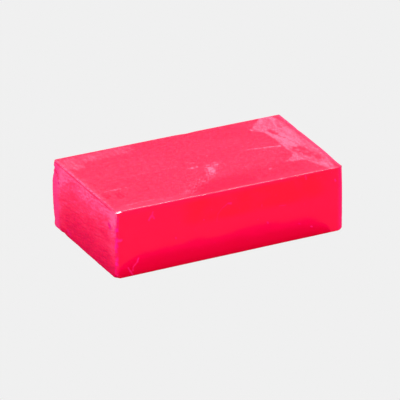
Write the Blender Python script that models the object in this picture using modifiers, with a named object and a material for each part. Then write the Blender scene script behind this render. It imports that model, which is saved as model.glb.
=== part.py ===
"""A small bar of dyed, translucent wax, lying on its largest face.

Metres, +Z up. The origin is the centre of the face the bar rests on. The bar runs along X: its
+X end was cast against the mould, and its -X end was cut off a longer stick, so it bellies out a
little and has a chip on its far edge.
"""

from math import radians

import bmesh
import bpy
from mathutils import Matrix, Vector

BAR_LENGTH = 0.0700  # over the belly of the cut end
BAR_WIDTH = 0.0381
CUT_END_HEIGHT = 0.0202
CAST_END_HEIGHT = 0.0194  # the top falls a little from the cut end to the cast end

CAST_UPRIGHT_RADIUS = 0.0010
BASE_EDGE_RADIUS = 0.0009
CUT_UPRIGHT_RADIUS = 0.0005
TOP_EDGE_RADIUS = 0.0004
EDGE_SEGMENTS = 5

CUT_END_BELLY = 0.0005
BELLY_HEIGHT = 0.62 * CUT_END_HEIGHT

CHIP_HEIGHT = 0.87 * CUT_END_HEIGHT  # where the chip meets the far side, falling away from there
CHIP_REACH = 0.0038
CHIP_THICKNESS = 0.0007
CHIP_DEPTH = 0.0005
CHIP_SLOPE = radians(29.0)

WAX_COLOR = (0.95, 0.022, 0.075, 1.0)
WAX_ROUGHNESS = 0.28

MICRON = 1e-6


def clear_scene():
    for obj in list(bpy.data.objects):
        bpy.data.objects.remove(obj, do_unlink=True)


def make_collection(name):
    collection = bpy.data.collections.new(name)
    bpy.context.scene.collection.children.link(collection)
    return collection


def wax_material():
    material = bpy.data.materials.new("dyed_wax")
    material.use_nodes = True
    shader = material.node_tree.nodes["Principled BSDF"]
    shader.inputs["Base Color"].default_value = WAX_COLOR
    shader.inputs["Roughness"].default_value = WAX_ROUGHNESS
    shader.inputs["Metallic"].default_value = 0.0
    material.diffuse_color = WAX_COLOR
    return material


def object_from(mesh_builder, name, collection):
    mesh = bpy.data.meshes.new(name)
    mesh_builder.to_mesh(mesh)
    mesh_builder.free()
    obj = bpy.data.objects.new(name, mesh)
    collection.objects.link(obj)
    return obj


def edge_radius(edge):
    """The rounding of one edge of the block; an edge that only divides a face stays sharp."""
    first, second = (vert.co for vert in edge.verts)
    if max(first.z, second.z) < MICRON:
        return BASE_EDGE_RADIUS
    if min(first.z, second.z) > CAST_END_HEIGHT - MICRON:
        return TOP_EDGE_RADIUS
    if abs(first.z - second.z) < MICRON:
        return 0.0
    return CAST_UPRIGHT_RADIUS if first.x > 0.0 else CUT_UPRIGHT_RADIUS


def lower_cast_end(block):
    top = [vert for vert in block.verts if vert.co.x > 0.0 and vert.co.z > MICRON]
    bmesh.ops.translate(block, verts=top, vec=(0.0, 0.0, CAST_END_HEIGHT - CUT_END_HEIGHT))


def belly_out_cut_end(block):
    """Splits the block at the belly's height and sets the cut end back above and below it."""
    bmesh.ops.bisect_plane(
        block,
        geom=block.verts[:] + block.edges[:] + block.faces[:],
        plane_co=(0.0, 0.0, BELLY_HEIGHT),
        plane_no=(0.0, 0.0, 1.0),
    )
    set_back = [
        vert for vert in block.verts if vert.co.x < 0.0 and abs(vert.co.z - BELLY_HEIGHT) > MICRON
    ]
    bmesh.ops.translate(block, verts=set_back, vec=(CUT_END_BELLY, 0.0, 0.0))


def make_bar(collection):
    block = bmesh.new()
    centre = Matrix.Translation((0.0, 0.0, CUT_END_HEIGHT / 2))
    size = Matrix.Diagonal((BAR_LENGTH, BAR_WIDTH, CUT_END_HEIGHT, 1.0))
    bmesh.ops.create_cube(block, size=1.0, matrix=centre @ size)
    lower_cast_end(block)
    belly_out_cut_end(block)
    weight = block.edges.layers.float.new("bevel_weight_edge")
    for edge in block.edges:
        edge[weight] = edge_radius(edge) / CAST_UPRIGHT_RADIUS
    bar = object_from(block, "wax_bar", collection)
    rounding = bar.modifiers.new("rounded_edges", "BEVEL")
    rounding.limit_method = "WEIGHT"
    rounding.width = CAST_UPRIGHT_RADIUS
    rounding.segments = EDGE_SEGMENTS
    bar.data.materials.append(wax_material())
    return bar


def make_chip_cutter(collection):
    """A thin slab that slants down the cut end from where it meets the far side."""
    slab = bmesh.new()
    size = Matrix.Diagonal((2 * CHIP_DEPTH, 2 * CHIP_REACH, CHIP_THICKNESS, 1.0))
    bmesh.ops.create_cube(slab, size=1.0, matrix=size)
    cutter = object_from(slab, "chip_cutter", collection)
    cutter.location = Vector((-BAR_LENGTH / 2, BAR_WIDTH / 2, CHIP_HEIGHT))
    cutter.rotation_euler = (CHIP_SLOPE, 0.0, 0.0)
    cutter.hide_render = True
    cutter.display_type = "WIRE"
    return cutter


def cut(obj, cutter):
    boolean = obj.modifiers.new("cut_" + cutter.name, "BOOLEAN")
    boolean.operation = "DIFFERENCE"
    boolean.solver = "EXACT"
    boolean.object = cutter


def main():
    clear_scene()
    bar = make_bar(make_collection("dyed_wax_bar"))
    cut(bar, make_chip_cutter(make_collection("cutters")))


main()
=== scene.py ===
from math import cos, exp, radians, sin, sqrt

import bmesh
import bpy
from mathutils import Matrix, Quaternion, Vector, noise


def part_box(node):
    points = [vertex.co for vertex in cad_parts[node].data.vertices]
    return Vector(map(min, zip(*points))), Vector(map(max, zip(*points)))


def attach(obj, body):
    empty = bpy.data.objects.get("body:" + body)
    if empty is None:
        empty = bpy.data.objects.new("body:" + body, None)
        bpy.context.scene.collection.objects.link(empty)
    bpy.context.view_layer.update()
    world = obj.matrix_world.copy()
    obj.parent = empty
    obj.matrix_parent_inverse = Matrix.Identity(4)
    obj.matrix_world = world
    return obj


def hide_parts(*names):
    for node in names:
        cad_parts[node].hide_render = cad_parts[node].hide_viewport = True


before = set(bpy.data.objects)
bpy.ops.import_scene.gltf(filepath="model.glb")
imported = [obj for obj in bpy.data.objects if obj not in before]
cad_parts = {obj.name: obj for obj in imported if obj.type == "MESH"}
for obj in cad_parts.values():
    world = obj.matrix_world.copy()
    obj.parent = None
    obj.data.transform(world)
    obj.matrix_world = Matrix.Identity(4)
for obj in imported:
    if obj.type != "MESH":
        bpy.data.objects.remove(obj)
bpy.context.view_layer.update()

# A small bar of dyed, translucent wax. It was cast in a mould and cut off at its -X end.

mm = 0.001
hair = 0.001 * mm  # lengths closer than this are the same
low, high = (Vector(corner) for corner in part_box("wax_bar"))
middle = (low + high) / 2
print("frame loaded, bar", [round(side / mm, 2) for side in high - low], "mm")


def linkToScene(obj):
    bpy.context.scene.collection.objects.link(obj)
    return obj


def ramp(value, start, end):  # 0 before start, 1 after end, eased between
    share = min(max((value - start) / (end - start), 0.0), 1.0)
    return share * share * (3.0 - 2.0 * share)


def hump(distance, width):  # 1 at no distance, fading to nothing over about twice the width
    return exp(-((distance / width) ** 2))


def wobble(co, size, seed=0.0):  # smooth noise from -1 to 1 with features of about this size
    return noise.noise(co / size + Vector((seed, -seed, 2 * seed)))


# the bar's shape

bar = {
    "castEndDrop": 0.8 * mm,  # the top falls this much from the cut end to the cast end
    "rimSetBack": 0.5 * mm,  # the cut end's rims stand this far behind its belly
    "setBackReach": (1.0 * mm, 3.0 * mm),  # from the cut end, where the set back starts and stops fading
    "castUpright": 1.2 * mm,  # edge radii
    "base": 0.6 * mm,
    "cutUpright": 0.5 * mm,
    "top": 0.3 * mm,
    "roundingFaces": 6,
    "fineStretch": 3.0 * mm,  # beside the cut end and under the top the mesh is finer
    "cutsAlong": 96,
    "cutsAcross": 104,
    "cutsUp": 72,
    "fineCuts": 11,
    "shortestCut": 1.2 * mm,  # shorter edges stay whole
    "waviness": 0.05 * mm,
    "waveLength": 14 * mm,
    "edgeWear": 0.05 * mm,
    "raggedWear": 0.09 * mm,  # more wear, along the edges of the cut end
    "raggedReach": (0.8 * mm, 2.0 * mm),
    "nibble": 2.2 * mm,  # the length of the wear's bites, and of finer bites in them
    "finerNibble": 0.8 * mm,
    "cornerFlatness": 0.8,  # 1 would cut the worn corners quite flat
}

wornCorners = [  # which side along, across and up, and how much is gone from the corner
    ((-1, -1, -1), 1.25 * mm),
    ((-1, 1, -1), 0.85 * mm),
    ((1, -1, -1), 0.95 * mm),
    ((1, 1, -1), 0.90 * mm),
    ((1, -1, 1), 0.85 * mm),
    ((1, 1, 1), 0.35 * mm),
    ((-1, 1, 1), 0.45 * mm),
]

facet = {  # a polished flat on the near upper corner of the cut end
    "facing": Vector((-0.021, -0.493, 0.870)),
    "amount": 0.45 * mm,
    "reach": 3.0 * mm,
    "flatShare": 0.75,  # of its reach, before it fades
}

dents = [  # where along, across and up from the bar's middle, then size and depth
    ((-34.8 * mm, 13.0 * mm, -10.0 * mm), 1.2 * mm, 0.18 * mm),
    ((-34.8 * mm, 4.0 * mm, -10.0 * mm), 2.2 * mm, 0.06 * mm),
    ((-34.8 * mm, 18.8 * mm, -7.6 * mm), 1.2 * mm, 0.15 * mm),
    ((-34.3 * mm, -19.0 * mm, 1.6 * mm), 0.9 * mm, 0.22 * mm),
    ((-34.3 * mm, -19.0 * mm, -3.4 * mm), 1.3 * mm, 0.16 * mm),
    ((-34.4 * mm, -8.5 * mm, 10.1 * mm), 1.1 * mm, 0.16 * mm),
    ((-34.4 * mm, 6.3 * mm, 10.1 * mm), 0.9 * mm, 0.18 * mm),
    ((6.0 * mm, 19.0 * mm, 9.8 * mm), 1.8 * mm, 0.14 * mm),
    ((35.0 * mm, 7.5 * mm, 9.4 * mm), 1.5 * mm, 0.10 * mm),
    ((35.0 * mm, -15.5 * mm, 9.2 * mm), 4.6 * mm, 0.26 * mm),
    ((21.0 * mm, 19.0 * mm, -10.0 * mm), 1.6 * mm, 0.18 * mm),
]


def edgeRadius(edge):
    first, second = (vert.co for vert in edge.verts)
    if max(first.z, second.z) < middle.z:
        return bar["base"]
    if min(first.z, second.z) > middle.z:
        return bar["top"]
    return bar["castUpright"] if first.x > middle.x else bar["cutUpright"]


def roundedBlock():
    block = bmesh.new()
    bmesh.ops.create_cube(block, size=1.0)
    bmesh.ops.scale(block, verts=block.verts, vec=high - low)
    bmesh.ops.translate(block, verts=block.verts, vec=middle)
    largest = max(bar[edge] for edge in ("castUpright", "base", "cutUpright", "top"))
    weight = block.edges.layers.float.new("bevel_weight_edge")
    for edge in block.edges:
        edge[weight] = edgeRadius(edge) / largest
    mesh = bpy.data.meshes.new("roughBlock")
    block.to_mesh(mesh)
    rough = linkToScene(bpy.data.objects.new("roughBlock", mesh))
    rounding = rough.modifiers.new("rounding", "BEVEL")
    rounding.limit_method = "WEIGHT"
    rounding.width = largest
    rounding.segments = bar["roundingFaces"]
    evaluated = rough.evaluated_get(bpy.context.evaluated_depsgraph_get())
    block.clear()
    block.from_mesh(evaluated.to_mesh())
    evaluated.to_mesh_clear()
    bpy.data.objects.remove(rough)
    return block


def splitAt(block, axis, place):
    normal = Vector((axis == 0, axis == 1, axis == 2))
    everything = block.verts[:] + block.edges[:] + block.faces[:]
    bmesh.ops.bisect_plane(block, geom=everything, plane_co=normal * place, plane_no=normal)


def cutAcross(block, axis, cuts, start, end):  # cross cuts in every long edge that lies between
    edges = []
    for edge in block.edges:
        first, second = (vert.co for vert in edge.verts)
        reach = abs(second[axis] - first[axis])
        nearest, furthest = sorted((first[axis], second[axis]))
        inside = nearest > start - hair and furthest < end + hair
        straight = reach > 0.999 * (second - first).length
        if inside and straight and reach > bar["shortestCut"]:
            edges.append(edge)
    bmesh.ops.subdivide_edges(block, edges=edges, cuts=cuts)


def gridOnBlock(block):
    nearEnd = low.x + bar["fineStretch"]
    nearTop = high.z - bar["fineStretch"]
    splitAt(block, 0, nearEnd)
    splitAt(block, 2, nearTop)
    cutAcross(block, 0, bar["fineCuts"], low.x, nearEnd)
    cutAcross(block, 0, bar["cutsAlong"], nearEnd, high.x)
    cutAcross(block, 1, bar["cutsAcross"], low.y, high.y)
    cutAcross(block, 2, bar["cutsUp"], low.z, nearTop)
    cutAcross(block, 2, bar["fineCuts"], nearTop, high.z)


cutEnd = {
    "bellyTop": 0.70,  # shares of the height: the belly draws in from here up
    "bellyEnd": 0.86,  # to here at the far side, and to the top at the near side
    "bellyBase": 0.60,  # and from here down to the foot
    "frontShare": 0.4,  # the belly is this much of its full depth at the near side
    "ridge": 0.05 * mm,
    "ridgeHeight": 0.60 * mm,
    "ridgeLength": 6.0 * mm,
    "ridgeTilt": 0.20,  # the ridges rise this much per length, towards the near side
    "finerRidges": 2.3,  # half as deep, and this many times finer
    "grooveBelowTop": 0.50 * mm,
    "grooveDepth": 0.12 * mm,
    "grooveWidth": 0.22 * mm,
    "grooveWander": 0.12 * mm,
    "grooveStart": (1 * mm, 9 * mm),  # it deepens between these, from the near side
    "lip": 0.10 * mm,
    "lipHeight": 0.22 * mm,
    "lipBeads": 1.3 * mm,
    "slitFrom": (19.0 * mm, 18.1 * mm),  # across and up, on the cut end
    "slitTo": (15.4 * mm, 15.9 * mm),
    "slitDepth": 0.50 * mm,
    "slitWidth": 0.32 * mm,
    "burrOutside": 0.12 * mm,
    "pit": (-15.7 * mm, 14.8 * mm),
    "pitRadius": 0.50 * mm,
    "pitDepth": 0.25 * mm,
}


def belly(y, z):  # 1 where the cut end stands furthest out, 0 at its rims
    share = z / (high.z - low.z)
    across = (y - low.y) / (high.y - low.y)
    upper = 1.0 - ramp(share, cutEnd["bellyTop"], 1.0 - (1.0 - cutEnd["bellyEnd"]) * across)
    lower = ramp(share, 0.0, cutEnd["bellyBase"])
    depth = cutEnd["frontShare"] + (1.0 - cutEnd["frontShare"]) * across
    return upper * lower * depth


def distanceToLine(point, start, end):
    start, end, point = Vector(start), Vector(end), Vector(point)
    along = end - start
    share = min(max((point - start).dot(along) / along.length_squared, 0.0), 1.0)
    return (point - start - along * share).length


def ridgeRelief(co):
    across = co.y / cutEnd["ridgeLength"]
    up = (co.z + cutEnd["ridgeTilt"] * co.y) / cutEnd["ridgeHeight"]
    finer = cutEnd["finerRidges"]
    coarse = noise.noise((0.0, across, up))
    return cutEnd["ridge"] * (coarse + 0.5 * noise.noise((7.0, finer * across, finer * up)))


def grooveRelief(co, fromTop):
    middleLine = cutEnd["grooveBelowTop"] + cutEnd["grooveWander"] * wobble(co, 3 * mm, 5.0)
    start, full = cutEnd["grooveStart"]
    along = ramp(co.y, low.y + start, low.y + full)
    return cutEnd["grooveDepth"] * hump(fromTop - middleLine, cutEnd["grooveWidth"]) * along


def cutRelief(co):  # how far the cut face goes in at this point
    place = (co.y, co.z)
    fromTop = high.z - co.z
    relief = ridgeRelief(co) + grooveRelief(co, fromTop)
    beads = 0.6 + 0.7 * wobble(co, cutEnd["lipBeads"], 9.0)
    relief -= cutEnd["lip"] * hump(fromTop, cutEnd["lipHeight"]) * beads
    slit = distanceToLine(place, cutEnd["slitFrom"], cutEnd["slitTo"])
    relief += cutEnd["slitDepth"] * hump(slit, cutEnd["slitWidth"])
    relief -= cutEnd["burrOutside"] * hump(slit - 2 * cutEnd["slitWidth"], cutEnd["slitWidth"])
    pit = (Vector(place) - Vector(cutEnd["pit"])).length
    relief += cutEnd["pitDepth"] * hump(pit, cutEnd["pitRadius"])
    return relief


def cornerLoss(co):  # what the worn corners and the polished flat take away, as a move inwards
    loss = Vector((0.0, 0.0, 0.0))
    for side, amount in wornCorners:
        outward = Vector(side) / sqrt(3)
        corner = Vector([high[axis] if side[axis] > 0 else low[axis] for axis in range(3)])
        beyond = (co - corner).dot(outward) + amount
        if beyond > 0.0:
            loss -= outward * beyond * bar["cornerFlatness"]
    corner = Vector((low.x, low.y, high.z))
    fade = 1.0 - ramp(co.x, low.x + facet["flatShare"] * facet["reach"], low.x + facet["reach"])
    beyond = (co - corner).dot(facet["facing"]) + facet["amount"] * fade
    if beyond > 0.0 and fade > 0.0:
        loss -= facet["facing"] * beyond
    return loss


def nearCutEnd(co, reach):  # 1 at the cut end, fading to 0 between the reach's two lengths from it
    return 1.0 - ramp(co.x, low.x + reach[0], low.x + reach[1])


def inwardWear(co, normal):
    inward = bar["waviness"] * (0.5 + 0.5 * wobble(co, bar["waveLength"]))
    slant = 1.0 - max(abs(part) for part in normal)
    onEdge = ramp(slant, 0.01, 0.12)
    finer = 0.4 * wobble(co, bar["finerNibble"], 7.0)
    nibble = max(0.5 + 0.5 * wobble(co, bar["nibble"], 3.0) + finer, 0.0)
    ragged = bar["raggedWear"] * nearCutEnd(co, bar["raggedReach"])
    inward += onEdge * nibble * (bar["edgeWear"] + ragged)
    for place, size, depth in dents:
        inward += depth * hump((co - middle - Vector(place)).length, size)
    return inward


def wearShape(block):
    block.normal_update()
    size = high - low
    shapes = [(vert, vert.co.copy(), vert.normal.copy()) for vert in block.verts]
    for vert, co, normal in shapes:
        along, up = (co.x - low.x) / size.x, (co.z - low.z) / size.z
        moved = co - normal * inwardWear(co, normal)
        moved += cornerLoss(moved)
        moved.z -= bar["castEndDrop"] * along * up
        setBack = bar["rimSetBack"] * (1.0 - belly(co.y, co.z))
        moved.x += setBack * nearCutEnd(co, bar["setBackReach"])
        moved.x += cutRelief(co) * ramp(-normal.x, 0.4, 0.95)  # only where the surface faces out of that end
        vert.co = [min(max(moved[axis], low[axis]), high[axis]) for axis in range(3)]


def makeBar():
    block = roundedBlock()
    gridOnBlock(block)
    wearShape(block)
    mesh = bpy.data.meshes.new("waxBar")
    block.to_mesh(mesh)
    block.free()
    mesh.shade_smooth()
    print("bar shaped,", len(mesh.polygons), "faces")
    return linkToScene(bpy.data.objects.new("wax_bar_surface", mesh))


# nodes that the wax is mixed from; every length inside the material is in millimetres

def put(tree, kind, inputs=(), **settings):  # a node with its settings, and its inputs set or linked
    made = tree.nodes.new(kind)
    for name, value in settings.items():
        setattr(made, name, value)
    for name, value in dict(inputs).items():
        if isinstance(value, bpy.types.NodeSocket):
            tree.links.new(value, made.inputs[name])
        else:
            made.inputs[name].default_value = value
    return made


def maths(tree, operation, first, second=0.0, clamp=False):
    made = put(tree, "ShaderNodeMath", {0: first, 1: second}, operation=operation, use_clamp=clamp)
    return made.outputs[0]


def added(tree, *values):
    total = values[0]
    for value in values[1:]:
        total = maths(tree, "ADD", total, value)
    return total


def times(tree, *values):
    total = values[0]
    for value in values[1:]:
        total = maths(tree, "MULTIPLY", total, value)
    return total


def eased(tree, value, start, end):  # 0 before start, 1 after end, smooth between
    inputs = {"Value": value, "From Min": start, "From Max": end}
    return put(tree, "ShaderNodeMapRange", inputs, interpolation_type="SMOOTHSTEP").outputs[0]


def between(tree, value, start, end, soft):  # 1 from start to end, fading over soft outside them
    rising = eased(tree, value, start - soft, start)
    return times(tree, rising, eased(tree, value, end + soft, end))


def vectors(tree, operation, first, second=(0.0, 0.0, 0.0)):
    made = put(tree, "ShaderNodeVectorMath", {0: first, 1: second}, operation=operation)
    return made.outputs["Value"] if operation in ("DOT_PRODUCT", "LENGTH") else made.outputs["Vector"]


def scaled(tree, vector, factor):
    return put(tree, "ShaderNodeVectorMath", {0: vector, "Scale": factor}, operation="SCALE").outputs[0]


def mixed(tree, mask, under, over):  # numbers
    return put(tree, "ShaderNodeMix", {"Factor": mask, "A": under, "B": over}).outputs[0]


def painted(tree, mask, under, over):  # colours
    made = put(tree, "ShaderNodeMix", data_type="RGBA")
    sockets = {socket.name: socket for socket in made.inputs if socket.enabled}
    for name, value in {"Factor": mask, "A": under, "B": over}.items():
        if isinstance(value, bpy.types.NodeSocket):
            tree.links.new(value, sockets[name])
        else:
            sockets[name].default_value = (*value, 1.0)
    return next(socket for socket in made.outputs if socket.enabled)


def ramped(tree, value, stops, interpolation="LINEAR"):
    made = put(tree, "ShaderNodeValToRGB", {"Fac": value})
    made.color_ramp.interpolation = interpolation
    while len(made.color_ramp.elements) < len(stops):
        made.color_ramp.elements.new(0.5)
    for element, (place, colour) in zip(made.color_ramp.elements, stops):
        element.position = place
        element.color = (*colour, 1.0)
    return made.outputs["Color"]


def outlined(tree, share, stops, largest):  # a length that follows straight runs between the stops
    made = put(tree, "ShaderNodeFloatCurve", {"Value": share})
    points = made.mapping.curves[0].points
    while len(points) < len(stops):
        points.new(0.5, 0.5)
    for point, (place, length) in zip(points, stops):
        point.location = (place, length / largest)
        point.handle_type = "VECTOR"
    made.mapping.update()
    return times(tree, made.outputs[0], largest)


def newGroup(name, inputs, outputs):
    tree = bpy.data.node_groups.new(name, "ShaderNodeTree")
    for label, kind in inputs.items():
        tree.interface.new_socket(label, in_out="INPUT", socket_type="NodeSocket" + kind)
    for label, kind in outputs.items():
        tree.interface.new_socket(label, in_out="OUTPUT", socket_type="NodeSocket" + kind)
    return tree, tree.nodes.new("NodeGroupInput").outputs, tree.nodes.new("NodeGroupOutput").inputs


def makeSmearGroup():  # a soft-edged straight smear from one place to another
    inputs = {"Place": "Vector", "From": "Vector", "To": "Vector", "Width": "Float", "Strength": "Float"}
    tree, given, out = newGroup("waxSmear", inputs, {"Mask": "Float"})
    offset = vectors(tree, "SUBTRACT", given["Place"], given["From"])
    along = vectors(tree, "SUBTRACT", given["To"], given["From"])
    reach = vectors(tree, "DOT_PRODUCT", along, along)
    share = maths(tree, "DIVIDE", vectors(tree, "DOT_PRODUCT", offset, along), reach, clamp=True)
    away = vectors(tree, "LENGTH", vectors(tree, "SUBTRACT", offset, scaled(tree, along, share)))
    mask = eased(tree, maths(tree, "DIVIDE", away, given["Width"]), 1.0, 0.25)
    tree.links.new(times(tree, mask, given["Strength"]), out["Mask"])


def makeCloudGroup():  # cloudy patches, drawn out along each axis that has a small fineness
    inputs = {"Place": "Vector", "Fineness": "Vector", "Detail": "Float", "Low": "Float", "High": "Float"}
    tree, given, out = newGroup("waxClouds", inputs, {"Mask": "Float"})
    drawn = vectors(tree, "MULTIPLY", given["Place"], given["Fineness"])
    cloud = put(tree, "ShaderNodeTexNoise", {"Vector": drawn, "Scale": 1.0, "Detail": given["Detail"]})
    tree.links.new(eased(tree, cloud.outputs[0], given["Low"], given["High"]), out["Mask"])


def makeRaggedGroup():  # pushes a pattern about, so that what is drawn with it has ragged edges
    inputs = {"Place": "Vector", "Fineness": "Float", "Push": "Float"}
    tree, given, out = newGroup("raggedPlace", inputs, {"Place": "Vector"})
    pattern = {"Vector": given["Place"], "Scale": given["Fineness"], "Detail": 4.0}
    jitter = put(tree, "ShaderNodeTexNoise", pattern)
    push = vectors(tree, "SUBTRACT", jitter.outputs["Color"], (0.5, 0.5, 0.5))
    moved = vectors(tree, "ADD", given["Place"], scaled(tree, push, given["Push"]))
    tree.links.new(moved, out["Place"])


def grouped(tree, name, inputs):
    return put(tree, "ShaderNodeGroup", inputs, node_tree=bpy.data.node_groups[name]).outputs[0]


# a pattern is its fineness along each axis, the noise that gives 0, the noise that gives 1, and its detail
def clouds(tree, place, pattern):
    inputs = {"Place": place, **dict(zip(("Fineness", "Low", "High", "Detail"), pattern))}
    return grouped(tree, "waxClouds", inputs)


def ragged(tree, place, edge):  # an edge is its fineness and how far it is pushed about
    return grouped(tree, "raggedPlace", {"Place": place, **dict(zip(("Fineness", "Push"), edge))})


def weighted(tree, place, look, name):
    return times(tree, clouds(tree, place, look[name]), look["amounts"][name])


def centred(tree, mask, amount):  # a mask from 0 to 1 turned into a shift up or down by half the amount
    return times(tree, added(tree, mask, -0.5), amount)


def patchy(tree, mask, least, spread):  # a strength that is least where the mask is 0
    return added(tree, least, times(tree, mask, spread))


def smears(tree, place, marks):  # a mark is where it starts and ends, its width and its strength
    total = None
    for start, end, width, strength in marks:
        inputs = {"Place": place, "From": start, "To": end, "Width": width, "Strength": strength}
        mask = grouped(tree, "waxSmear", inputs)
        total = mask if total is None else maths(tree, "MAXIMUM", total, mask)
    return total


facingRanges = {  # how far the surface turns that way where each mask starts, and where it is full
    "top": (0.45, 0.85),
    "cut": (0.35, 0.8),
    "near": (0.5, 0.9),
    "end": (0.4, 0.75),
    "edge": (0.004, 0.14),
}


def facings(tree, normal):
    parts = put(tree, "ShaderNodeSeparateXYZ", {0: normal}).outputs
    sizes = [maths(tree, "ABSOLUTE", part) for part in parts]
    largest = maths(tree, "MAXIMUM", maths(tree, "MAXIMUM", sizes[0], sizes[1]), sizes[2])
    turns = {
        "top": parts[2],
        "cut": times(tree, parts[0], -1.0),
        "near": times(tree, parts[1], -1.0),
        "end": sizes[0],
        "edge": maths(tree, "SUBTRACT", 1.0, largest),
    }
    return {name: eased(tree, turn, *facingRanges[name]) for name, turn in turns.items()}


# the cast sides: clear dyed wax, with painted glow above and painted shade along the foot

sides = {
    # the first three colours are painted shade along the foot
    "deepestShade": (0.76, 0.0, 0.026),
    "deepShade": (0.84, 0.0, 0.039),
    "shaded": (0.97, 0.0, 0.063),
    "clear": (1.0, 0.0086, 0.063),
    "warm": (1.0, 0.0088, 0.041),
    # the pinkish colour is painted light under the upper edge
    "pinkishLight": (1.0, 0.0082, 0.078),
    "magenta": (1.0, 0.020, 0.24),
    # the upright colour is painted glow where the wax is thin at the cast end's uprights
    "uprightGlow": (1.0, 0.012, 0.150),
    "footStops": (0.0, 0.36, 0.70, 0.90),  # where deepestShade, deepShade, shaded and clear lie in the foot's painted shade
    "footSpread": 0.8,  # which stop lies at the height of the arch
    "footHeight": 5.8,
    "archCentre": -2.0,  # the shade dips at both ends of a side, like a low arch
    "archHalfLength": 33.0,
    "archHalfWidth": 18.3,
    "archPower": 5.0,
    "leastArch": 0.05,
    "warmUp": (13.5, 17.5, 3.0),  # from, to and softness, of the height and then of the length
    "warmAlong": (-8.0, 24.0, 9.0),
    "pinkishUp": (18.0, 19.4),
    "pinkishAlong": (34.0, 16.0),
    "uprightAlong": (32.6, 34.4),
    "uprightAcross": (16.8, 18.4),
    "drift": ((0.12, 0.12, 0.3), 0.25, 0.75, 3.0),
    "warmClouds": ((0.10, 0.10, 0.14), 0.30, 0.70, 3.0),
    "specks": ((1.5, 1.5, 1.5), 0.70, 0.80, 2.0),
    "amounts": {"drift": 1.6, "pinkishLight": 0.8, "uprightGlow": 0.9, "specks": 0.4},
    "warmPatches": (0.45, 1.0),
    "markEdge": (1.6, 0.5),
    "nearMarks": [  # scuffs and specks on the near side
        ((-23.3, 0, 17.9), (-23.6, 0, 17.1), 0.35, 0.50),
        ((-23.6, 0, 17.1), (-24.5, 0, 15.9), 0.45, 0.70),
        ((-23.4, 0, 16.9), (-22.9, 0, 16.0), 0.35, 0.55),
        ((-34.0, 0, 11.5), (-32.9, 0, 11.6), 0.65, 0.75),
        ((-27.7, 0, 5.1), (-28.0, 0, 4.2), 0.38, 0.80),
        ((-28.1, 0, 4.1), (-29.2, 0, 3.0), 0.32, 0.60),
        ((-29.2, 0, 3.0), (-29.4, 0, 1.8), 0.32, 0.34),
        ((-30.8, 0, 2.9), (-29.4, 0, 0.6), 0.34, 0.50),
        ((-4.0, 0, 11.0), (-3.6, 0, 13.3), 0.24, 0.16),
        ((-3.6, 0, 13.3), (-2.2, 0, 14.8), 0.24, 0.22),
        ((-2.2, 0, 14.8), (-0.5, 0, 15.8), 0.26, 0.40),
        ((-0.4, 0, 15.7), (0.4, 0, 15.5), 0.40, 0.60),
        ((11.5, 0, 7.5), (11.7, 0, 7.2), 0.35, 0.7),
        ((25.0, 0, 3.3), (25.2, 0, 3.2), 0.35, 0.9),
        ((21.2, 0, 5.0), (21.6, 0, 4.8), 0.25, 0.5),
        ((-16.4, 0, 8.8), (-16.3, 0, 8.6), 0.30, 0.5),
        ((-7.9, 0, 12.5), (-7.8, 0, 12.3), 0.28, 0.5),
        ((9.8, 0, 13.2), (9.8, 0, 12.5), 0.22, 0.4),
        ((15.2, 0, 11.6), (17.1, 0, 11.5), 0.22, 0.3),
        ((23.1, 0, 19.0), (23.3, 0, 17.9), 0.25, 0.5),
        ((32.3, 0, 15.8), (32.4, 0, 15.4), 0.35, 0.8),
    ],
}


# painted shade: the sides darken towards the foot under a low arch, standing in for light that fades through
# the wax
def footShade(tree, place, parts, facing):
    along = maths(tree, "DIVIDE", added(tree, parts[0], -sides["archCentre"]), sides["archHalfLength"])
    across = maths(tree, "DIVIDE", parts[1], sides["archHalfWidth"])
    aside = mixed(tree, facing["end"], along, across)
    dip = maths(tree, "POWER", maths(tree, "ABSOLUTE", aside), sides["archPower"])
    arch = maths(tree, "SQRT", maths(tree, "SUBTRACT", 1.0, dip, clamp=True))
    drift = weighted(tree, place, sides, "drift")
    height = times(tree, added(tree, arch, sides["leastArch"]), added(tree, drift, sides["footHeight"]))
    share = times(tree, maths(tree, "DIVIDE", parts[2], height), sides["footSpread"])
    colours = (sides["deepestShade"], sides["deepShade"], sides["shaded"], sides["clear"])
    return ramped(tree, share, list(zip(sides["footStops"], colours)), "EASE")


def sideTone(tree, place, parts, facing):
    foot = footShade(tree, place, parts, facing)
    warmUp = between(tree, parts[2], *sides["warmUp"])
    warmAlong = between(tree, parts[0], *sides["warmAlong"])
    cloudy = patchy(tree, clouds(tree, place, sides["warmClouds"]), *sides["warmPatches"])
    warmth = times(tree, warmUp, warmAlong, cloudy)
    colour = painted(tree, warmth, foot, sides["warm"])
    # painted light: a pinkish band just under the upper edge stands in for the edge's reflection inside the
    # wax
    upper = times(tree, eased(tree, parts[2], *sides["pinkishUp"]), sides["amounts"]["pinkishLight"])
    upper = times(tree, upper, eased(tree, parts[0], *sides["pinkishAlong"]))
    colour = painted(tree, upper, colour, sides["pinkishLight"])
    # painted glow: a magenta strip along the cast end's uprights, where light shines through thin wax
    uprightGlow = eased(tree, maths(tree, "ABSOLUTE", parts[1]), *sides["uprightAcross"])
    uprightGlow = times(tree, uprightGlow, eased(tree, parts[0], *sides["uprightAlong"]))
    colour = painted(tree, times(tree, uprightGlow, sides["amounts"]["uprightGlow"]), colour, sides["uprightGlow"])
    flat = ragged(tree, vectors(tree, "MULTIPLY", place, (1.0, 0.0, 1.0)), sides["markEdge"])
    marks = times(tree, smears(tree, flat, sides["nearMarks"]), facing["near"])
    specks = weighted(tree, place, sides, "specks")
    return painted(tree, maths(tree, "MAXIMUM", marks, specks), colour, sides["magenta"])


# the top: one scale from clear to bloomed wax, partly real bloom and partly a painted sheen, which every
# zone and mark adds to

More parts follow.
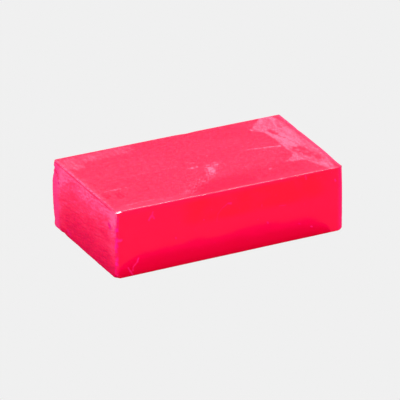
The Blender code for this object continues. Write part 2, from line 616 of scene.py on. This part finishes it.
top = {
    "frostAndSheen": [
        (0.0, (0.79, 0.002, 0.062)), (0.3, (0.85, 0.018, 0.094)),
        (0.6, (0.93, 0.052, 0.151)), (1.0, (1.0, 0.130, 0.262)),
    ],
    "still": 0.03,  # the frost and painted sheen where nothing marks it and no cloud adds to it
    "tornEdge": (0.9, 1.3),  # how ragged: fineness and push
    "softEdge": (1.3, 0.7),
    "crispEdge": (2.4, 0.3),
    "slow": ((0.07, 0.10, 0.0), 0.30, 0.70, 4.0),
    "fine": ((0.9, 1.1, 0.0), 0.28, 0.72, 6.0),
    "hatching": ((0.45, 2.2, 0.0), 0.38, 0.64, 3.0),
    "hatchTurn": radians(-62.0),
    "brushed": ((1.5, 0.16, 0.0), 0.30, 0.75, 4.0),
    "scored": ((1.15, 0.08, 0.0), 0.44, 0.56, 1.0),
    "specks": ((1.7, 1.7, 0.0), 0.70, 0.78, 2.0),
    "skinStreaks": ((0.9, 0.16, 0.0), 0.34, 0.66, 5.0),
    "skinVeins": ((2.6, 0.7, 0.0), 0.36, 0.64, 3.0),
    "skinPatches": ((0.16, 0.10, 0.0), 0.35, 0.62, 3.0),
    "skinSwirls": ((0.75, 0.45, 0.0), 0.48, 0.60, 2.0),
    "amounts": {
        "slow": 0.08, "fine": 0.26, "hatching": 0.12, "specks": 0.22,
        "skinStreaks": 0.24, "skinVeins": 0.18, "skinPatches": 0.10, "skinSwirls": 0.65,
    },
    "brushPatches": (0.30, 1.0),
    "scratchPatches": (0.65, 0.6),
    "rimPatches": (0.45, 0.8),
    "skinFrost": 0.24,
    "skinTear": (-0.25, 0.7),  # how it fades in at its torn edge, and at the margin
    "skinFade": (-0.9, 0.7),
    "skinReach": [  # how far the torn skin comes from the cast end, from the far side to the near one
        (0.0, 6.3), (0.17, 12.7), (0.24, 9.9), (0.37, 9.0), (0.65, 9.1), (0.71, 11.0), (0.755, 13.8),
        (0.78, 7.9), (0.88, 6.3), (1.0, 4.2),
    ],
    "skinMargin": [  # and how far it stays from that end
        (0.0, 2.6), (0.12, 2.0), (0.37, 1.6), (0.55, 1.3), (0.78, 1.2), (0.93, 2.0), (1.0, 3.0),
    ],
    "largestReach": 20.0,
    "skinGaps": [
        ((27.3, 10.6, 0), (28.0, 7.9, 0), 1.1, 1.0),
        ((27.8, 7.0, 0), (29.4, 3.4, 0), 0.32, 0.7),
        ((29.4, 3.4, 0), (30.3, -1.4, 0), 0.28, 0.6),
        ((32.2, 15.4, 0), (31.0, 11.0, 0), 0.8, 0.5),
    ],
    "skinBrightest": [
        ((28.4, 5.5, 0), (29.0, -1.5, 0), 3.6, 0.20),
    ],
    "skinHoles": [
        ((28.9, -3.4, 0), (30.9, -10.6, 0), 3.5, 1.0),
    ],
    "scratches": [
        ((13.1, 2.15, 0), (17.5, 1.7, 0), 0.30, 0.25),
        ((16.5, 1.8, 0), (21.5, 0.9, 0), 0.42, 0.50),
        ((21.0, 1.0, 0), (25.3, 0.2, 0), 0.60, 0.65),
        ((-31.4, -6.0, 0), (-26.4, -5.9, 0), 0.42, 0.42),
        ((-24.9, -5.9, 0), (-24.6, -5.9, 0), 0.50, 0.42),
        ((-29.5, -15.9, 0), (-21.5, -15.8, 0), 0.60, 0.24),
        ((-27.5, 0.15, 0), (-6.1, 0.3, 0), 0.40, 0.14),
        ((15.9, -12.0, 0), (16.3, -11.6, 0), 0.55, 0.80),
        ((8.1, -5.4, 0), (8.5, -5.8, 0), 0.40, 0.35),
        ((10.4, -7.2, 0), (10.9, -8.2, 0), 0.35, 0.35),
        ((4.3, 3.3, 0), (4.3, 2.8, 0), 0.35, 0.3),
        ((24.0, -10.0, 0), (23.7, -11.4, 0), 0.35, 0.30),
    ],
    "smudges": [
        ((1.4, -4.6, 0), (1.0, -6.6, 0), 1.3, 1.2),
        ((1.7, -3.6, 0), (0.6, -7.4, 0), 2.2, 0.26),
        ((4.4, -2.4, 0), (3.4, -3.9, 0), 1.6, 0.34),
        ((-3.8, -2.4, 0), (-1.4, -2.2, 0), 0.8, 0.34),
        ((-2.6, 1.2, 0), (-1.4, 0.4, 0), 0.9, 0.18),
    ],
    "trail": [
        ((0.2, -8.2, 0), (-4.6, -11.2, 0), 2.6, 0.26),
        ((-4.6, -11.2, 0), (-9.2, -14.4, 0), 2.8, 0.42),
        ((-9.2, -14.4, 0), (-13.0, -17.4, 0), 2.8, 0.24),
    ],
    "darkMarks": [  # small squares of dark, fine scoring
        ((-31.8, -8.0, 0), (-31.9, -9.4, 0), 1.3, 0.44),
        ((-28.7, -8.8, 0), (-28.5, -9.8, 0), 2.3, 0.50),
        ((-20.4, -8.2, 0), (-20.4, -9.6, 0), 1.3, 0.42),
        ((-3.6, 1.9, 0), (-4.4, -0.2, 0), 0.6, 0.24),
    ],
    "farStreaks": [
        ((-34.0, 15.4, 0), (-14.0, 16.2, 0), 3.4, 0.34),
        ((-34.4, 14.5, 0), (-31.0, 12.0, 0), 3.0, 0.46),
        ((-34.4, 12.0, 0), (-34.4, -18.0, 0), 1.9, 0.26),
        ((-33.5, -17.5, 0), (-17.0, -17.8, 0), 2.6, 0.18),
    ],
    "farShade": [
        ((-8.5, 14.8, 0), (18.0, 14.8, 0), 6.6, 0.05),
    ],
    "nearShade": [
        ((-6.0, -15.6, 0), (6.5, -14.6, 0), 5.4, 0.25),
        ((3.0, -13.6, 0), (23.0, -12.6, 0), 5.0, 0.13),
    ],
    "rimFrost": 0.22,
    "rimAlong": 34.8,  # where the rim's frost ends, and how it fades in towards that
    "rimAcross": 18.9,
    "rimWidth": (0.8, 0.15),
}


def tornSkin(tree, flat, parts):  # a film of bloom, torn along its inner edge, beside the cast end
    share = maths(tree, "DIVIDE", maths(tree, "SUBTRACT", high.y / mm, parts[1]), (high.y - low.y) / mm)
    fromEnd = maths(tree, "SUBTRACT", high.x / mm, parts[0])
    reach = outlined(tree, share, top["skinReach"], top["largestReach"])
    margin = outlined(tree, share, top["skinMargin"], top["largestReach"])
    inside = eased(tree, maths(tree, "SUBTRACT", reach, fromEnd), *top["skinTear"])
    outside = eased(tree, maths(tree, "SUBTRACT", fromEnd, margin), *top["skinFade"])
    texture = [weighted(tree, flat, top, name) for name in ("skinStreaks", "skinVeins", "skinPatches")]
    body = added(tree, top["skinFrost"], *texture, smears(tree, flat, top["skinBrightest"]))
    curls = weighted(tree, flat, top, "skinSwirls")  # what stays of the film in its holes
    holes = times(tree, smears(tree, flat, top["skinHoles"]), maths(tree, "SUBTRACT", 1.0, curls))
    gone = maths(tree, "ADD", holes, smears(tree, flat, top["skinGaps"]), clamp=True)
    return times(tree, inside, outside, body, maths(tree, "SUBTRACT", 1.0, gone))


def rimFrost(tree, parts, fine):
    fromEnd = maths(tree, "SUBTRACT", top["rimAlong"], maths(tree, "ABSOLUTE", parts[0]))
    fromSide = maths(tree, "SUBTRACT", top["rimAcross"], maths(tree, "ABSOLUTE", parts[1]))
    onRim = eased(tree, maths(tree, "MINIMUM", fromEnd, fromSide), *top["rimWidth"])
    return times(tree, onRim, patchy(tree, fine, *top["rimPatches"]), top["rimFrost"])


# partly painted sheen: the scale's paleness stands in part for the top's reflection, and in part for its
# real bloom, film and marks
def topFrostAndSheen(tree, place, parts):
    flat = vectors(tree, "MULTIPLY", place, (1.0, 1.0, 0.0))
    torn = ragged(tree, flat, top["tornEdge"])
    soft = ragged(tree, flat, top["softEdge"])
    crisp = ragged(tree, flat, top["crispEdge"])
    skin = tornSkin(tree, torn, put(tree, "ShaderNodeSeparateXYZ", {0: torn}).outputs)
    amounts = top["amounts"]
    fine = clouds(tree, flat, top["fine"])
    turn = {"Vector": soft, "Rotation": (0.0, 0.0, top["hatchTurn"])}
    hatching = clouds(tree, put(tree, "ShaderNodeMapping", turn).outputs[0], top["hatching"])
    grained = times(tree, fine, amounts["fine"])
    hatched = times(tree, hatching, amounts["hatching"])
    frostAndSheen = added(tree, top["still"], weighted(tree, flat, top, "slow"), grained, hatched)
    brushed = patchy(tree, clouds(tree, flat, top["brushed"]), *top["brushPatches"])
    frostAndSheen = added(tree, frostAndSheen, times(tree, smears(tree, soft, top["farStreaks"]), brushed))
    frostAndSheen = maths(tree, "SUBTRACT", frostAndSheen, smears(tree, soft, top["farShade"]))
    frostAndSheen = maths(tree, "SUBTRACT", frostAndSheen, smears(tree, soft, top["nearShade"]))
    scored = times(tree, smears(tree, crisp, top["darkMarks"]), clouds(tree, flat, top["scored"]))
    frostAndSheen = maths(tree, "SUBTRACT", frostAndSheen, scored)
    trail = times(tree, smears(tree, soft, top["trail"]), hatching)
    dappled = added(tree, 0.4, times(tree, fine, hatching), times(tree, fine, 0.5))
    rubbed = times(tree, smears(tree, soft, top["smudges"]), dappled)
    uneven = patchy(tree, fine, *top["scratchPatches"])
    scratched = times(tree, smears(tree, crisp, top["scratches"]), uneven)
    frostAndSheen = added(tree, frostAndSheen, trail, rubbed, scratched, skin, rimFrost(tree, parts, fine))
    return maths(tree, "ADD", frostAndSheen, weighted(tree, flat, top, "specks"), clamp=True), fine


# the cut end: dull, with slanting cut marks, a groove under its upper edge and a burr; its pale rims and top
# are partly painted light, and its dark foot and the dark line in its groove are painted shade

cutFace = {
    "pale": [  # one scale from the dark foot to the palest wax, which also carries painted light and shade
        (0.0, (0.80, 0.0, 0.072)), (0.25, (0.94, 0.001, 0.078)), (0.5, (1.0, 0.016, 0.102)),
        (0.75, (1.0, 0.040, 0.178)), (1.0, (1.0, 0.095, 0.285)),
    ],
    "farRim": (1.0, 0.028, 0.212),
    "magenta": (0.86, 0.0, 0.180),
    "bead": (1.0, 0.012, 0.25),
    "burr": (1.0, 0.150, 0.360),
    # the groove colour is painted shadow in the groove under the upper edge
    "grooveShadow": (0.90, 0.0, 0.075),
    # painted shade: the first four marks darken the slit and the pit in the cut end; the last is a dark mark
    # low down
    "marks": [
        ((0, 18.6, 18.0), (0, 16.9, 16.8), 0.66, 1.0),
        ((0, 16.9, 16.8), (0, 15.5, 15.9), 0.66, 1.0),
        ((0, 15.1, 14.8), (0, 14.8, 14.6), 0.62, 1.0),
        ((0, -15.3, 15.0), (0, -16.1, 14.6), 1.10, 1.0),
        ((0, 10.2, 2.3), (0, 9.2, 2.0), 0.90, 0.7),
    ],
    "paleMarks": [
        ((0, 18.2, 15.8), (0, 15.8, 15.1), 0.55, 0.50),
        ((0, 14.0, 3.0), (0, 2.0, 2.6), 1.1, 0.14),
    ],
    "markEdge": (2.2, 0.35),
    "cutTilt": radians(11.0),  # the cut marks rise towards the near side
    "ridges": ((0.0, 0.20, 1.5), 0.28, 0.72, 5.0),
    "patches": ((0.0, 0.13, 0.28), 0.28, 0.72, 3.0),
    "grain": ((0.0, 0.9, 1.8), 0.30, 0.70, 3.0),
    "paleFoot": -0.02,  # how pale the face is at its foot, and how much paler at its top
    "paleRise": 0.82,
    "amounts": {
        "ridges": 0.27, "patches": 0.22, "grain": 0.30, "farSide": 0.34, "nearSide": 0.19,
        "upperRim": 0.08, "foot": 0.25, "farRim": 0.9,
    },
    "farSide": (8.0, 19.0),  # where this and the zones below start, and where they are full
    "nearSide": (-14.0, -17.6),
    "nearSideUp": (0.5, 8.0),
    "upperRim": (14.2, 16.6),
    "footUp": (2.2, 0.3),
    "farRimAcross": (13.8, 16.8),
    "grooveBelowTop": (0.42, 0.66, 0.25),  # from, to and softness
    "grooveAcross": (-18.6, -15.0),
    "groovePatches": (0.5, 0.5),
    "beads": ((0.8, 0.8, 0.8), 0.42, 0.60, 2.0),
    "burrPatches": (0.05, 0.50),
    "beadPatches": (0.15, 0.85),
    "burrAlong": (-33.7, -34.2),
    "burrUp": (19.80, 20.0),
    "beadsAlong": (-33.4, -34.0),
    "beadsAcross": (-18.40, -18.80),
    "beadsUp": (19.4, 18.0),
}


# partly painted light: the face grows paler upwards, towards its far and near sides and under its upper rim,
# and painted shade darkens its foot; the cloudy patterns and pale marks are the wax's own
def cutPaleness(tree, parts, soft, patterns):
    amounts = cutFace["amounts"]
    upwards = maths(tree, "DIVIDE", parts[2], high.z / mm)
    pale = added(tree, times(tree, upwards, cutFace["paleRise"]), cutFace["paleFoot"])
    farSide = times(tree, eased(tree, parts[1], *cutFace["farSide"]), amounts["farSide"])
    upperRim = times(tree, eased(tree, parts[2], *cutFace["upperRim"]), amounts["upperRim"])
    nearSide = times(tree, eased(tree, parts[1], *cutFace["nearSide"]), amounts["nearSide"])
    nearSide = times(tree, nearSide, eased(tree, parts[2], *cutFace["nearSideUp"]))
    pale = added(tree, pale, farSide, upperRim, nearSide)
    pale = added(tree, pale, *[centred(tree, mask, amounts[name]) for name, mask in patterns.items()])
    pale = added(tree, pale, smears(tree, soft, cutFace["paleMarks"]))
    foot = times(tree, eased(tree, parts[2], *cutFace["footUp"]), amounts["foot"])
    return maths(tree, "SUBTRACT", pale, foot, clamp=True)


def cutTone(tree, place, parts):
    turn = {"Vector": place, "Rotation": (cutFace["cutTilt"], 0.0, 0.0)}
    turned = put(tree, "ShaderNodeMapping", turn).outputs[0]
    patterns = {name: clouds(tree, turned, cutFace[name]) for name in ("ridges", "patches", "grain")}
    soft = ragged(tree, vectors(tree, "MULTIPLY", place, (0.0, 1.0, 1.0)), cutFace["markEdge"])
    colour = ramped(tree, cutPaleness(tree, parts, soft, patterns), cutFace["pale"])
    # painted light: a paler rim along the far side of the cut end
    farRim = times(tree, eased(tree, parts[1], *cutFace["farRimAcross"]), cutFace["amounts"]["farRim"])
    colour = painted(tree, farRim, colour, cutFace["farRim"])
    # painted shade in the slit and the pit, from the first four marks
    colour = painted(tree, smears(tree, soft, cutFace["marks"]), colour, cutFace["magenta"])
    softUp = put(tree, "ShaderNodeSeparateXYZ", {0: soft}).outputs[2]
    fromTop = maths(tree, "SUBTRACT", high.z / mm, softUp)
    # painted shadow: a dark line in the groove under the cut end's upper edge
    uneven = patchy(tree, patterns["grain"], *cutFace["groovePatches"])
    grooveShadow = times(tree, between(tree, fromTop, *cutFace["grooveBelowTop"]), uneven)
    grooveShadow = times(tree, grooveShadow, eased(tree, parts[1], *cutFace["grooveAcross"]))
    return painted(tree, grooveShadow, colour, cutFace["grooveShadow"]), patterns["ridges"]


def cutEdges(tree, place, parts, colour):  # the burr along the top and the beads down the near upright
    beads = clouds(tree, place, cutFace["beads"])
    burr = patchy(tree, beads, *cutFace["burrPatches"])
    burr = times(tree, burr, eased(tree, parts[0], *cutFace["burrAlong"]))
    burr = times(tree, burr, eased(tree, parts[2], *cutFace["burrUp"]))
    bead = patchy(tree, beads, *cutFace["beadPatches"])
    bead = times(tree, bead, eased(tree, parts[0], *cutFace["beadsAlong"]))
    bead = times(tree, bead, eased(tree, parts[1], *cutFace["beadsAcross"]))
    bead = times(tree, bead, eased(tree, parts[2], *cutFace["beadsUp"]))
    colour = painted(tree, bead, colour, cutFace["bead"])
    return painted(tree, burr, colour, cutFace["burr"])


finish = {
    "castRoughness": 0.09,
    "topRoughness": 0.285,
    "frostRoughness": 0.40,
    "cutRoughness": 0.34,
    "edgeRoughness": 0.16,
    # the pale colour of the upper edges is painted light
    "paintedEdgeLight": (1.0, 0.055, 0.20),
    "edgeLightUp": (18.4, 18.9),  # the upper edge's painted light, which fades out towards the cast end
    "edgeLightAlong": (26.0, 6.0),
    "edgeLightStrength": 0.14,
    "castRimUp": (17.6, 18.6),
    "castRimAlong": (33.6, 34.7),
    "castRimStrength": 0.75,
    "castSkin": ((0.5, 0.5, 0.5), 0.20, 0.80, 4.0),
    "castSkinHeight": 0.012,  # heights of the relief, in millimetres
    "cutMarkHeight": 0.045,
    "topGrainHeight": 0.02,
    "indexOfRefraction": 1.44,
    "glow": 0.25,
    "glowDepth": 1.5 * mm,
    "glowColours": (1.0, 0.25, 0.3),
}


# painted light: a pale line along the upper edges stands in for part of their highlight, and the cast end's
# upper rim is painted paler where light shines through thin wax
def paintedEdgeLight(tree, parts, facing, colour):
    edgeLightMask = times(tree, facing["edge"], finish["edgeLightStrength"])
    edgeLightMask = times(tree, edgeLightMask, eased(tree, parts[2], *finish["edgeLightUp"]))
    edgeLightMask = times(tree, edgeLightMask, eased(tree, parts[0], *finish["edgeLightAlong"]))
    colour = painted(tree, edgeLightMask, colour, finish["paintedEdgeLight"])
    castRim = times(tree, eased(tree, parts[0], *finish["castRimAlong"]), finish["castRimStrength"])
    castRim = times(tree, castRim, eased(tree, parts[2], *finish["castRimUp"]))
    return painted(tree, castRim, colour, finish["paintedEdgeLight"])


def waxRoughness(tree, facing, frostAndSheen):
    frosted = added(tree, finish["topRoughness"], times(tree, frostAndSheen, finish["frostRoughness"]))
    rough = mixed(tree, facing["cut"], finish["castRoughness"], finish["cutRoughness"])
    rough = mixed(tree, facing["top"], rough, frosted)
    return mixed(tree, facing["edge"], rough, finish["edgeRoughness"])


def waxRelief(tree, place, facing, ridges, grain):
    castSkin = times(tree, clouds(tree, place, finish["castSkin"]), finish["castSkinHeight"])
    cutMarks = times(tree, facing["cut"], ridges, finish["cutMarkHeight"])
    topGrain = times(tree, facing["top"], grain, finish["topGrainHeight"])
    height = added(tree, castSkin, cutMarks, topGrain)
    return put(tree, "ShaderNodeBump", {"Height": height, "Distance": mm, "Strength": 1.0}).outputs[0]


def waxMaterial():
    makeSmearGroup()
    makeCloudGroup()
    makeRaggedGroup()
    material = bpy.data.materials.new("dyedWax")
    material.use_nodes = True
    tree = material.node_tree
    shader = tree.nodes["Principled BSDF"]
    coordinates = put(tree, "ShaderNodeTexCoord").outputs
    place = scaled(tree, coordinates["Object"], 1.0 / mm)
    parts = put(tree, "ShaderNodeSeparateXYZ", {0: place}).outputs
    facing = facings(tree, coordinates["Normal"])
    frostAndSheen, grain = topFrostAndSheen(tree, place, parts)
    cut, ridges = cutTone(tree, place, parts)
    colour = painted(tree, facing["cut"], sideTone(tree, place, parts, facing), cut)
    colour = painted(tree, facing["top"], colour, ramped(tree, frostAndSheen, top["frostAndSheen"]))
    colour = paintedEdgeLight(tree, parts, facing, colour)
    colour = cutEdges(tree, place, parts, colour)
    tree.links.new(colour, shader.inputs["Base Color"])
    tree.links.new(waxRoughness(tree, facing, frostAndSheen), shader.inputs["Roughness"])
    tree.links.new(waxRelief(tree, place, facing, ridges, grain), shader.inputs["Normal"])
    shader.inputs["IOR"].default_value = finish["indexOfRefraction"]
    shader.inputs["Subsurface Weight"].default_value = finish["glow"]
    shader.inputs["Subsurface Radius"].default_value = finish["glowColours"]
    shader.inputs["Subsurface Scale"].default_value = finish["glowDepth"]
    return material


piece = makeBar()
piece.data.materials.append(waxMaterial())
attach(piece, "root")
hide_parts("wax_bar")
print("bar made")


# the studio

studio = {
    "backdrop": 0.8714,  # the floor and the wall behind it, as the camera sees them
    "floorSize": 3.0,
    "floorGrey": 0.8,
    "evenLight": 1.06,
    "reflectedSky": 0.205,
    "skyUp": (-0.05, 0.35),  # where that sky starts, and where it is full
    "azimuth": -27.15,
    "elevation": 25.292,
    "tilt": 0.143,
    "distance": 2.0695,
    "lens": 691.0,
    "aim": (-10.152 * mm, -21.105 * mm, 19.644 * mm),
    "lampDistance": 0.8,
}


def makeCamera():
    azimuth, elevation = radians(studio["azimuth"]), radians(studio["elevation"])
    back = Vector((sin(azimuth) * cos(elevation), -cos(azimuth) * cos(elevation), sin(elevation)))
    camera = linkToScene(bpy.data.objects.new("camera", bpy.data.cameras.new("camera")))
    camera.data.lens = studio["lens"]
    camera.location = Vector(studio["aim"]) + back * studio["distance"]
    camera.rotation_mode = "QUATERNION"
    level = back.to_track_quat("Z", "Y")
    camera.rotation_quaternion = level @ Quaternion((0.0, 0.0, 1.0), radians(studio["tilt"]))
    bpy.context.scene.camera = camera


def makeFloor():
    sheet = bmesh.new()
    bmesh.ops.create_grid(sheet, x_segments=1, y_segments=1, size=studio["floorSize"] / 2)
    mesh = bpy.data.meshes.new("floor")
    sheet.to_mesh(mesh)
    sheet.free()
    floor = linkToScene(bpy.data.objects.new("floor", mesh))
    material = bpy.data.materials.new("paleFloor")
    material.use_nodes = True
    tree = material.node_tree
    tree.nodes.clear()
    seen = put(tree, "ShaderNodeEmission", {"Color": (1.0, 1.0, 1.0, 1.0), "Strength": studio["backdrop"]})
    grey = studio["floorGrey"]
    lit = put(tree, "ShaderNodeBsdfDiffuse", {"Color": (grey, grey, grey, 1.0)})
    path = put(tree, "ShaderNodeLightPath")
    either = {0: path.outputs["Is Camera Ray"], 1: lit.outputs[0], 2: seen.outputs[0]}
    put(tree, "ShaderNodeOutputMaterial", {"Surface": put(tree, "ShaderNodeMixShader", either).outputs[0]})
    mesh.materials.append(material)
    floor.visible_glossy = False


def makeWorld():  # even light from all round; reflections see a dim room that is lighter above
    world = bpy.data.worlds.new("studio")
    bpy.context.scene.world = world
    world.use_nodes = True
    tree = world.node_tree
    tree.nodes.clear()
    path = put(tree, "ShaderNodeLightPath").outputs
    direction = put(tree, "ShaderNodeTexCoord").outputs["Generated"]
    up = put(tree, "ShaderNodeSeparateXYZ", {0: direction}).outputs[2]
    room = times(tree, eased(tree, up, *studio["skyUp"]), studio["reflectedSky"])
    light = mixed(tree, path["Is Glossy Ray"], studio["evenLight"], room)
    strength = mixed(tree, path["Is Camera Ray"], light, studio["backdrop"])
    background = put(tree, "ShaderNodeBackground", {"Color": (1.0, 1.0, 1.0, 1.0), "Strength": strength})
    put(tree, "ShaderNodeOutputWorld", {"Surface": background.outputs[0]})


softboxes = {  # the direction each light comes from, its size, its power and whether it is reflected
    "overhead": ((0.38, 0.04, 0.92), 0.15, 2.6, True),
    "cutEndFill": ((-0.97, 0.12, 0.20), 0.40, 0.9, False),
}


def makeSoftbox(name, direction, size, power, reflected):
    data = bpy.data.lights.new(name, "AREA")
    data.shape = "DISK"
    data.size = size
    data.energy = power
    lamp = linkToScene(bpy.data.objects.new(name, data))
    lamp.location = Vector(direction) * studio["lampDistance"]
    lamp.rotation_mode = "QUATERNION"
    lamp.rotation_quaternion = Vector(direction).to_track_quat("Z", "Y")
    lamp.visible_glossy = reflected


makeCamera()
makeFloor()
makeWorld()
for name, softbox in softboxes.items():
    makeSoftbox(name, *softbox)
bpy.context.scene.view_settings.view_transform = "Standard"
print("studio made")
